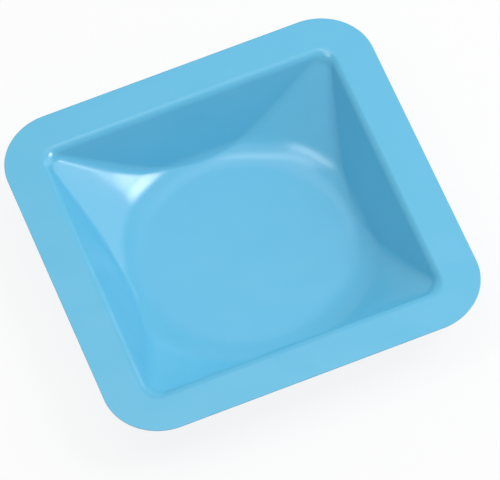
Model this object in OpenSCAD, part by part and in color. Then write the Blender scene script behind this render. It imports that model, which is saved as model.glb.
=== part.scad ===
// Weighing boat: a shallow square dish formed from one thin sheet of plastic.
// A flat rim with rounded corners bends down into four flat sloping walls. Four panels of
// one shallow cone fill the well's corners and bend wide into the floor, so the floor is
// almost a disc. Soft creases join the panels to the walls and close up at the well's corners.
// Frame: the origin is at the centre of the floor's underside, and +Z is up. Millimetres.

/* [Rim] */
// Width of the rim across its straight sides
side_w = 140; // [130:1:160]
// Radius of the rim's outer corners
corner_r = 21; // [8:0.5:30]
// Width of the rim, from its edge to the line where a wall's slope would meet it
rim_w = 15; // [8:0.5:18]
// Radius of the bend from the rim's top face down into the well
rim_bend_r = 3.75; // [1.25:0.25:6]

/* [Well] */
// Height of the boat, from the floor's underside to the rim's top face
boat_h = 22.2; // [18:0.2:28]
// Width of the floor between the lines where two opposite walls' slopes would meet it
floor_w = 85; // [76:0.5:92]
// Radius of the bend from the floor up into a wall
floor_bend_r = 6.75; // [2:0.25:10]
// Diameter of the circle where the corner panels' slope would meet the floor
floor_d = 85.5; // [78:0.5:100]
// Rise of the corner panels from the horizontal, in degrees
panel_rise = 32.25; // [28:0.25:45]
// Radius of the bend from the floor up into a corner panel
panel_bend_r = 25; // [4:1:30]
// Radius of the crease between a wall and a corner panel, at the floor
crease_r = 16; // [2:0.5:20]
// Radius where two walls meet, at the top of the well
wall_corner_r = 4.5; // [2:0.25:10]

/* [Sheet] */
// Thickness of the formed sheet
sheet_t = 0.5; // [0.3:0.05:0.8]
// Colour of the plastic
sheet_color = "#6fbfe6"; // ["#6fbfe6":Blue, "#f4f4f0":White, "#3a3a3a":Black]

/* [Hidden] */

// Facets along a crease, across a corner panel, round a bend and down a wall
crease_steps = 4;
panel_steps = 14;
bend_steps = 6;
wall_steps = 5;

// A crease turns through at least this angle
least_turn = 1.5;
// Half the angle a corner panel still spans where it closes up, at the top of the well
panel_tip = 0.3;

// Heights in the functions below are counted from the floor's top face
depth = boat_h - sheet_t;
floor_half = floor_w / 2;
floor_r = floor_d / 2;
mouth_half = side_w / 2 - rim_w;
wall_rise = atan2(depth, mouth_half - floor_half);

// How far out a straight side at this rise has come at height z, if it starts at foot
function side_line(foot, rise, z) = foot + z / tan(rise);

// The same side of the sheet with its bends, of radius bend_r at the floor. The face lies
// behind the top face by back: 0 is the top face and sheet_t is the underside.
function side_face(foot, rise, bend_r, back, z) =
    let(
        floor_arc_r = bend_r + back,
        floor_arc_x = foot - bend_r * tan(rise / 2),
        rim_arc_r = rim_bend_r - back,
        rim_arc_x = side_line(foot, rise, depth) + rim_bend_r * tan(rise / 2),
        above_floor = bend_r - z,
        below_rim = z - (depth - rim_bend_r)
    )
    above_floor > floor_arc_r * cos(rise)
        ? floor_arc_x + sqrt(max(0, floor_arc_r ^ 2 - above_floor ^ 2))
    : below_rim > rim_arc_r * cos(rise)
        ? rim_arc_x - sqrt(max(0, rim_arc_r ^ 2 - below_rim ^ 2))
    : side_line(foot, rise, z) + back / sin(rise);

// Heights of the rings on one face, from the floor up to the rim
function ring_heights(back) =
    let(
        floor_arc_r = floor_bend_r + back,
        rim_arc_r = rim_bend_r - back,
        wall_low = floor_bend_r - floor_arc_r * cos(wall_rise),
        wall_high = depth - rim_bend_r + rim_arc_r * cos(wall_rise)
    )
    [
        for (i = [0:bend_steps])
            floor_bend_r - floor_arc_r * cos(wall_rise * i / bend_steps),
        for (i = [1:wall_steps - 1])
            wall_low + (wall_high - wall_low) * i / wall_steps,
        for (i = [bend_steps:-1:0])
            depth - rim_bend_r + rim_arc_r * cos(wall_rise * i / bend_steps)
    ];

// Points of an arc about a centre, from one direction to another
function arc(centre, r, from, to, steps) = [
    for (i = [0:steps])
        let(turn = from + (to - from) * i / steps)
        centre + r * [cos(turn), sin(turn)]
];

// The corner at +X +Y of a square whose corners are cut by a circle about its centre, with
// a fillet at each end of the circle's arc
function cut_corner(half, circle_r, fillet_r) =
    let(
        fillet_x = min(half, circle_r) - fillet_r,
        meeting = acos(fillet_x / (circle_r - fillet_r)),
        turn = min(max(meeting, least_turn), 45 - panel_tip),
        fillet_y = fillet_x * tan(turn),
        panel = arc([0, 0], fillet_r + fillet_x / cos(turn), turn, 90 - turn, panel_steps)
    )
    concat(
        arc([fillet_x, fillet_y], fillet_r, 0, turn, crease_steps),
        [for (i = [1:panel_steps - 1]) panel[i]],
        arc([fillet_y, fillet_x], fillet_r, 90 - turn, 90, crease_steps)
    );

// The corner at +X +Y of the rim's outer edge, with as many points as the well's corner
function rim_corner() =
    let(middle = side_w / 2 - corner_r)
    arc([middle, middle], corner_r, 0, 90, 2 * crease_steps + panel_steps);

// The whole ring at height z: one corner turned into all four places
function ring(corner, z) = [
    for (turn = [0:90:270], p = corner)
        [p.x * cos(turn) - p.y * sin(turn), p.x * sin(turn) + p.y * cos(turn), z + sheet_t]
];

// A ring of the well on the face that lies behind the top face by back
function well_ring(back, z) =
    let(
        half = side_face(floor_half, wall_rise, floor_bend_r, back, z),
        flare = max(0, half - side_line(floor_half, wall_rise, z)),
        fillet_r = crease_r + (wall_corner_r - crease_r) * z / depth + flare
    )
    ring(cut_corner(half, side_face(floor_r, panel_rise, panel_bend_r, back, z), fillet_r), z);

// A solid skinned over closed rings of equal length, with a flat cap on each end ring
module skin(rings) {
    count = len(rings[0]);
    last = len(rings) - 1;
    sides = [
        for (k = [0:last - 1], i = [0:count - 1])
            let(j = (i + 1) % count, low = k * count, high = low + count)
            each [[low + i, high + i, high + j], [low + i, high + j, low + j]]
    ];
    caps = [[for (i = [0:count - 1]) i], [for (i = [count - 1:-1:0]) last * count + i]];
    polyhedron(points = [for (r = rings) each r], faces = concat(sides, caps));
}

// The sheet: up the underside from the floor, round the rim's cut edge and down the top face
module weighing_boat() {
    underside = [for (z = ring_heights(sheet_t)) well_ring(sheet_t, z)];
    top_heights = ring_heights(0);
    top_face = [for (i = [len(top_heights) - 1:-1:0]) well_ring(0, top_heights[i])];
    cut_edge = [ring(rim_corner(), depth - sheet_t), ring(rim_corner(), depth)];
    color(sheet_color) skin(concat(underside, cut_edge, top_face));
}

weighing_boat();
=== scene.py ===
# A blue weighing boat: one thin sheet of polystyrene, formed into a shallow square dish.
# Metres. The origin is at the centre of the floor's underside, and +Z is up.

from math import acos, atan2, cos, pi, radians, sin, sqrt, tan

import bpy
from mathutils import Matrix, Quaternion, Vector


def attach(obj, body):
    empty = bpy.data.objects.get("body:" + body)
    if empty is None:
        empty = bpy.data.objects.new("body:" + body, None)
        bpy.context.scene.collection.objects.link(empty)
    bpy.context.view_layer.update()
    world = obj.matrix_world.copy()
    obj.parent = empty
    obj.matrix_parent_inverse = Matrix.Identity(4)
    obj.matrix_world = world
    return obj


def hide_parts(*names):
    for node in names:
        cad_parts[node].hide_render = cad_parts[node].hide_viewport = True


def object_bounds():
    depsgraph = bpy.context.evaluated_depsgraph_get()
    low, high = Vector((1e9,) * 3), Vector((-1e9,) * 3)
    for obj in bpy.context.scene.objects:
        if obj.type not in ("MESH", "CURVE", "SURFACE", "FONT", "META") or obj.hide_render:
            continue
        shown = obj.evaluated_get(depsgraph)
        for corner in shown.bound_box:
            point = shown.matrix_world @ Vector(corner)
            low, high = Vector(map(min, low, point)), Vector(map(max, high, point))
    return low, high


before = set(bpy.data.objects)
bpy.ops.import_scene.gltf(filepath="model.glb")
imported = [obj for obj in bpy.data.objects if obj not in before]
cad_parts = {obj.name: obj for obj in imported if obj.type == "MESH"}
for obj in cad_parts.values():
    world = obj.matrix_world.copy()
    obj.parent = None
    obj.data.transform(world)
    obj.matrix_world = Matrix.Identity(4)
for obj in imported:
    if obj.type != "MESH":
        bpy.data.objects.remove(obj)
cad_low, cad_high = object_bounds()

MM = 0.001

# ---------------------------------------------------------------- sizes of the boat

SIDE_W = cad_high.x - cad_low.x
BOAT_H = cad_high.z - cad_low.z
CORNER_R = 21 * MM
# From the rim's edge to the line where a wall's slope would meet it
RIM_W = 15 * MM
RIM_BEND_R = 3.75 * MM
# Between the lines where two opposite walls' slopes would meet the floor
FLOOR_W = 85 * MM
FLOOR_BEND_R = 6.75 * MM
# The circle where the corner panels' slope would meet the floor
FLOOR_D = 85.5 * MM
PANEL_RISE = radians(32.25)
PANEL_BEND_R = 25 * MM
# Radius of the crease between a wall and a corner panel, where it leaves the floor
CREASE_R = 16 * MM
# Radius where two walls meet, at the top of the well
WALL_CORNER_R = 4.5 * MM
SHEET_T = 0.5 * MM
# Rounding of the rim's cut edge
CUT_EDGE_R = 0.12 * MM

# Heights in the functions below are counted from the floor's top face
DEPTH = BOAT_H - SHEET_T
FLOOR_HALF = FLOOR_W / 2
MOUTH_HALF = SIDE_W / 2 - RIM_W
WALL_RISE = atan2(DEPTH, MOUTH_HALF - FLOOR_HALF)
# A crease turns through at least this angle
LEAST_TURN = radians(1.5)
# Half the angle a corner panel still spans where it closes up at the mouth
PANEL_TIP = radians(0.3)

# Mesh steps along each part of the sheet
CREASE_STEPS = 14
PANEL_STEPS = 36
FLAT_STEPS = 26
BEND_STEPS = 14
WALL_STEPS = 30
RIM_STEPS = 10
FLOOR_STEPS = 16
EDGE_STEPS = 3

# ---------------------------------------------------------------- looks of the boat and its setting

# Linear colours that the cloudiness runs between
DEEP_BLUE = (0.114, 0.500, 0.749, 1)
PALE_BLUE = (0.132, 0.520, 0.773, 1)
POLYSTYRENE_IOR = 1.59
# Roughness that the grain runs between
ROUGHNESS_LOW = 0.16
ROUGHNESS_HIGH = 0.22
# Scale and detail of the noises
CLOUD_NOISE = (45, 3)
GRAIN_NOISE = (900, 4)
WAVE_NOISE = (55, 1)
# Strength of the reliefs and how deep they are
GRAIN_RELIEF = (0.25, 0.02 * MM)
WAVE_RELIEF = (0.5, 0.8 * MM)

TABLE_HALF = 20 * SIDE_W
# How far the table lies under the boat, so that the two faces don't share a plane
TABLE_GAP = 0.01 * MM
TABLE_GREY = (0.85, 0.85, 0.85, 1)
WHITE = (1, 1, 1, 1)
# Share of plain white in the table where it is seen
TABLE_LIFT = 0.86
WORLD_STRENGTH = 0.440

# What the lamps stand around and face
RIM_MIDDLE = Vector((0, 0, BOAT_H))
# The camera's lens and film width, in the millimetres that Blender counts them in
LENS_LENGTH = 475.2
FILM_W = 36
CAMERA_TARGET = RIM_MIDDLE + Vector((0.2, -8.9, 0)) * MM


# ---------------------------------------------------------------- the sheet's mesh

def spread(steps):
    """Shares from 0 to 1 that lie close together at both ends, where a flat meets a bend."""
    return [(1 - cos(pi * i / steps)) / 2 for i in range(steps + 1)]


def side_line(foot, rise, z):
    """How far out a straight side at this rise has come at height z, if it starts at foot."""
    return foot + z / tan(rise)


def side_face(foot, rise, bend_r, back, z):
    """The same side with its bends, on the face that lies behind the top face by back."""
    floor_arc_r = bend_r + back
    floor_arc_x = foot - bend_r * tan(rise / 2)
    rim_arc_r = RIM_BEND_R - back
    rim_arc_x = side_line(foot, rise, DEPTH) + RIM_BEND_R * tan(rise / 2)
    above_floor = bend_r - z
    below_rim = z - (DEPTH - RIM_BEND_R)
    if above_floor > floor_arc_r * cos(rise):
        return floor_arc_x + sqrt(max(0, floor_arc_r ** 2 - above_floor ** 2))
    if below_rim > rim_arc_r * cos(rise):
        return rim_arc_x - sqrt(max(0, rim_arc_r ** 2 - below_rim ** 2))
    return side_line(foot, rise, z) + back / sin(rise)


def ring_heights(back):
    """Heights of the rings on one face, from the floor up to the rim."""
    floor_arc_r = FLOOR_BEND_R + back
    rim_arc_r = RIM_BEND_R - back
    wall_low = FLOOR_BEND_R - floor_arc_r * cos(WALL_RISE)
    wall_high = DEPTH - RIM_BEND_R + rim_arc_r * cos(WALL_RISE)
    turns = [WALL_RISE * i / BEND_STEPS for i in range(BEND_STEPS + 1)]
    floor_bend = [FLOOR_BEND_R - floor_arc_r * cos(turn) for turn in turns]
    wall = [wall_low + (wall_high - wall_low) * share for share in spread(WALL_STEPS)[1:-1]]
    rim_bend = [DEPTH - RIM_BEND_R + rim_arc_r * cos(turn) for turn in reversed(turns)]
    return floor_bend + wall + rim_bend


def arc(centre, r, start, end, steps):
    """Points of an arc about a centre, both ends included."""
    turns = [start + (end - start) * i / steps for i in range(steps + 1)]
    return [(centre[0] + r * cos(turn), centre[1] + r * sin(turn)) for turn in turns]


def cut_corner(half, circle_r, fillet_r):
    """The +X +Y corner of a square whose corners a circle about its centre cuts, with fillets."""
    fillet_x = min(half, circle_r) - fillet_r
    meeting = acos(fillet_x / (circle_r - fillet_r))
    turn = min(max(meeting, LEAST_TURN), pi / 4 - PANEL_TIP)
    fillet_y = fillet_x * tan(turn)
    panel = arc((0, 0), fillet_r + fillet_x / cos(turn), turn, pi / 2 - turn, PANEL_STEPS)
    return (
        arc((fillet_x, fillet_y), fillet_r, 0, turn, CREASE_STEPS)
        + panel[1:-1]
        + arc((fillet_y, fillet_x), fillet_r, pi / 2 - turn, pi / 2, CREASE_STEPS)
    )


def rim_corner(inset):
    """The +X +Y corner of the rim's outline, moved in by inset, with as many points."""
    middle = SIDE_W / 2 - CORNER_R
    return arc((middle, middle), CORNER_R - inset, 0, pi / 2, 2 * CREASE_STEPS + PANEL_STEPS)


def whole_ring(corner, z):
    """One corner and the flat after it, turned into all four places at height z."""
    start = Vector(corner[-1])
    flat = [start.lerp(Vector((-start.x, start.y)), share) for share in spread(FLAT_STEPS)[1:-1]]
    quarter = [Vector(point) for point in corner] + flat
    ring = []
    for _ in range(4):
        ring += [Vector((point.x, point.y, z + SHEET_T)) for point in quarter]
        quarter = [Vector((-point.y, point.x)) for point in quarter]
    return ring


def well_ring(back, z):
    """A ring of the well on the face that lies behind the top face by back."""
    half = side_face(FLOOR_HALF, WALL_RISE, FLOOR_BEND_R, back, z)
    circle_r = side_face(FLOOR_D / 2, PANEL_RISE, PANEL_BEND_R, back, z)
    flare = max(0, half - side_line(FLOOR_HALF, WALL_RISE, z))
    fillet_r = CREASE_R + (WALL_CORNER_R - CREASE_R) * z / DEPTH + flare
    return whole_ring(cut_corner(half, circle_r, fillet_r), z)


def between(ring_a, ring_b, steps):
    """Rings that lie between two others, without those two."""
    return [[a.lerp(b, share) for a, b in zip(ring_a, ring_b)] for share in spread(steps)[1:-1]]


def face_rings(back, rim_edge):
    """Rings on one face of the sheet, from near the floor's middle out to the rim's edge."""
    well = [well_ring(back, z) for z in ring_heights(back)]
    middle = [Vector((0, 0, point.z)) for point in well[0]]
    return between(middle, well[0], FLOOR_STEPS) + well + between(well[-1], rim_edge, RIM_STEPS)


def cut_edge_rings():
    """Rings over the rim's cut edge, from its top face round to its underside."""
    top = [pi / 2 * (1 - i / EDGE_STEPS) for i in range(EDGE_STEPS + 1)]
    turns = [(turn, DEPTH - CUT_EDGE_R) for turn in top]
    turns += [(-turn, DEPTH - SHEET_T + CUT_EDGE_R) for turn in reversed(top)]
    return [
        whole_ring(rim_corner(CUT_EDGE_R * (1 - cos(turn))), z + CUT_EDGE_R * sin(turn))
        for turn, z in turns
    ]


def sheet_mesh(name):
    """The closed skin of the sheet: its top face, its cut edge and its underside."""
    edge = cut_edge_rings()
    rings = face_rings(0, edge[0]) + edge + face_rings(SHEET_T, edge[-1])[::-1]
    count = len(rings[0])
    points = [point for ring in rings for point in ring]
    faces = []
    for low in range(0, len(points) - count, count):
        for i in range(count):
            j = (i + 1) % count
            faces.append((low + i, low + count + i, low + count + j, low + j))
    top_middle, under_middle = len(points), len(points) + 1
    points += [Vector((0, 0, rings[0][0].z)), Vector((0, 0, rings[-1][0].z))]
    last = top_middle - count
    for i in range(count):
        j = (i + 1) % count
        faces.append((top_middle, i, j))
        faces.append((under_middle, last + j, last + i))
    mesh = bpy.data.meshes.new(name)
    mesh.from_pydata(points, [], faces)
    mesh.shade_smooth()
    return mesh


# ---------------------------------------------------------------- materials

def empty_tree(material):
    """The material's node tree, with no nodes in it."""
    material.use_nodes = True
    material.node_tree.nodes.clear()
    return material.node_tree


def noise(tree, place, scale, detail):
    """A noise from 0 to 1 over the boat's own coordinates."""
    made = tree.nodes.new("ShaderNodeTexNoise")
    made.inputs["Scale"].default_value = scale
    made.inputs["Detail"].default_value = detail
    tree.links.new(place, made.inputs["Vector"])
    return made.outputs["Fac"]


def bump(tree, height, strength, distance):
    """A relief node that follows a noise."""
    made = tree.nodes.new("ShaderNodeBump")
    made.inputs["Strength"].default_value = strength
    made.inputs["Distance"].default_value = distance
    tree.links.new(height, made.inputs["Height"])
    return made


def polystyrene():
    """Glossy blue sheet with a slightly cloudy colour, a fine grain and slow waves."""
    material = bpy.data.materials.new("formed_polystyrene")
    tree = empty_tree(material)
    node, link = tree.nodes.new, tree.links.new
    place = node("ShaderNodeTexCoord").outputs["Object"]
    cloud = noise(tree, place, *CLOUD_NOISE)
    grain = noise(tree, place, *GRAIN_NOISE)
    wave = noise(tree, place, *WAVE_NOISE)

    tint = node("ShaderNodeMix")
    tint.data_type = "RGBA"
    tint.inputs["A"].default_value = DEEP_BLUE
    tint.inputs["B"].default_value = PALE_BLUE
    link(cloud, tint.inputs["Factor"])

    gloss = node("ShaderNodeMapRange")
    gloss.inputs["To Min"].default_value = ROUGHNESS_LOW
    gloss.inputs["To Max"].default_value = ROUGHNESS_HIGH
    link(grain, gloss.inputs["Value"])

    ripple = bump(tree, wave, *WAVE_RELIEF)
    relief = bump(tree, grain, *GRAIN_RELIEF)
    link(ripple.outputs["Normal"], relief.inputs["Normal"])

    shader = node("ShaderNodeBsdfPrincipled")
    shader.inputs["IOR"].default_value = POLYSTYRENE_IOR
    link(tint.outputs["Result"], shader.inputs["Base Color"])
    link(gloss.outputs["Result"], shader.inputs["Roughness"])
    link(relief.outputs["Normal"], shader.inputs["Normal"])
    link(shader.outputs["BSDF"], node("ShaderNodeOutputMaterial").inputs["Surface"])
    return material


def white_table():
    """A white floor. Where it is seen, also in a reflection, it is lifted to near white.

    Its own shading stays under the lift, so the boat's shadow shows.
    """
    material = bpy.data.materials.new("white_table")
    tree = empty_tree(material)
    node, link = tree.nodes.new, tree.links.new
    matt = node("ShaderNodeBsdfDiffuse")
    matt.inputs["Color"].default_value = TABLE_GREY
    white = node("ShaderNodeEmission")
    white.inputs["Color"].default_value = WHITE

    path = node("ShaderNodeLightPath")
    seen = path.outputs["Is Camera Ray"]
    for ray in ("Is Glossy Ray", "Is Transmission Ray"):
        either = node("ShaderNodeMath")
        either.operation = "MAXIMUM"
        link(seen, either.inputs[0])
        link(path.outputs[ray], either.inputs[1])
        seen = either.outputs["Value"]
    lift = node("ShaderNodeMath")
    lift.operation = "MULTIPLY"
    lift.inputs[1].default_value = TABLE_LIFT
    link(seen, lift.inputs[0])

    mix = node("ShaderNodeMixShader")
    link(lift.outputs["Value"], mix.inputs["Fac"])
    link(matt.outputs["BSDF"], mix.inputs[1])
    link(white.outputs["Emission"], mix.inputs[2])
    link(mix.outputs["Shader"], node("ShaderNodeOutputMaterial").inputs["Surface"])
    return material


# ---------------------------------------------------------------- the boat

def add(name, data):
    """A new object in the scene, made of this mesh, lamp or camera."""
    made = bpy.data.objects.new(name, data)
    bpy.context.scene.collection.objects.link(made)
    return made


boat = add("formed_sheet", sheet_mesh("formed_sheet"))
boat.data.materials.append(polystyrene())
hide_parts("weighing_boat")
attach(boat, "root")


# ---------------------------------------------------------------- floor, light and camera

def aim(made, target, azimuth, elevation, distance, roll=0):
    """Stands a light or camera off a target, facing it. Azimuth 0 is in front, 90 to the right."""
    a, e = radians(azimuth), radians(elevation)
    outward = Vector((sin(a) * cos(e), -cos(a) * cos(e), sin(e)))
    made.location = target + outward * distance
    made.rotation_mode = "QUATERNION"
    turn = Quaternion((0, 0, 1), radians(roll))
    made.rotation_quaternion = (-outward).to_track_quat("-Z", "Y") @ turn
    return made


def softbox(name, azimuth, elevation, distance, width, height, watts, roll=0):
    """A white rectangular lamp, its sides in metres, that faces the middle of the rim."""
    lamp = bpy.data.lights.new(name, "AREA")
    lamp.shape = "RECTANGLE"
    lamp.size = width
    lamp.size_y = height
    lamp.energy = watts
    return aim(add(name, lamp), RIM_MIDDLE, azimuth, elevation, distance, roll)


table_corners = [
    (-TABLE_HALF, -TABLE_HALF, -TABLE_GAP),
    (TABLE_HALF, -TABLE_HALF, -TABLE_GAP),
    (TABLE_HALF, TABLE_HALF, -TABLE_GAP),
    (-TABLE_HALF, TABLE_HALF, -TABLE_GAP),
]
table_mesh = bpy.data.meshes.new("table")
table_mesh.from_pydata(table_corners, [], [(0, 1, 2, 3)])
table = add("table", table_mesh)
table.data.materials.append(white_table())

# The highlight on the corner panel at the back left
softbox("key_softbox", azimuth=71, elevation=54, distance=1,
        width=0.22, height=0.32, watts=3.0, roll=-32)
# The lit walls and panels on the left
softbox("side_softbox", azimuth=100, elevation=32, distance=1.2,
        width=1.0, height=0.8, watts=3.3)
# The sheen of the rim and floor
softbox("back_softbox", azimuth=170, elevation=64, distance=1,
        width=0.55, height=0.50, watts=0.35)
# The general light from above
softbox("top_softbox", azimuth=150, elevation=82, distance=1.2,
        width=0.9, height=0.9, watts=1.6)
# The long highlight on the bend at the back of the floor
softbox("top_strip", azimuth=218, elevation=76, distance=1,
        width=0.46, height=0.13, watts=0.60, roll=-34)
# The glint on that bend's right end
softbox("left_softbox", azimuth=260, elevation=62, distance=1,
        width=0.28, height=0.18, watts=0.75, roll=46)

world = bpy.data.worlds.new("studio")
bpy.context.scene.world = world
world.use_nodes = True
background = world.node_tree.nodes["Background"]
background.inputs["Color"].default_value = WHITE
background.inputs["Strength"].default_value = WORLD_STRENGTH

lens = bpy.data.cameras.new("camera")
lens.sensor_width = FILM_W
lens.lens = LENS_LENGTH
camera = add("camera", lens)
aim(camera, CAMERA_TARGET, azimuth=-13.88, elevation=57.84, distance=2.3251, roll=-8.6)
bpy.context.scene.camera = camera
bpy.context.scene.view_settings.view_transform = "Standard"
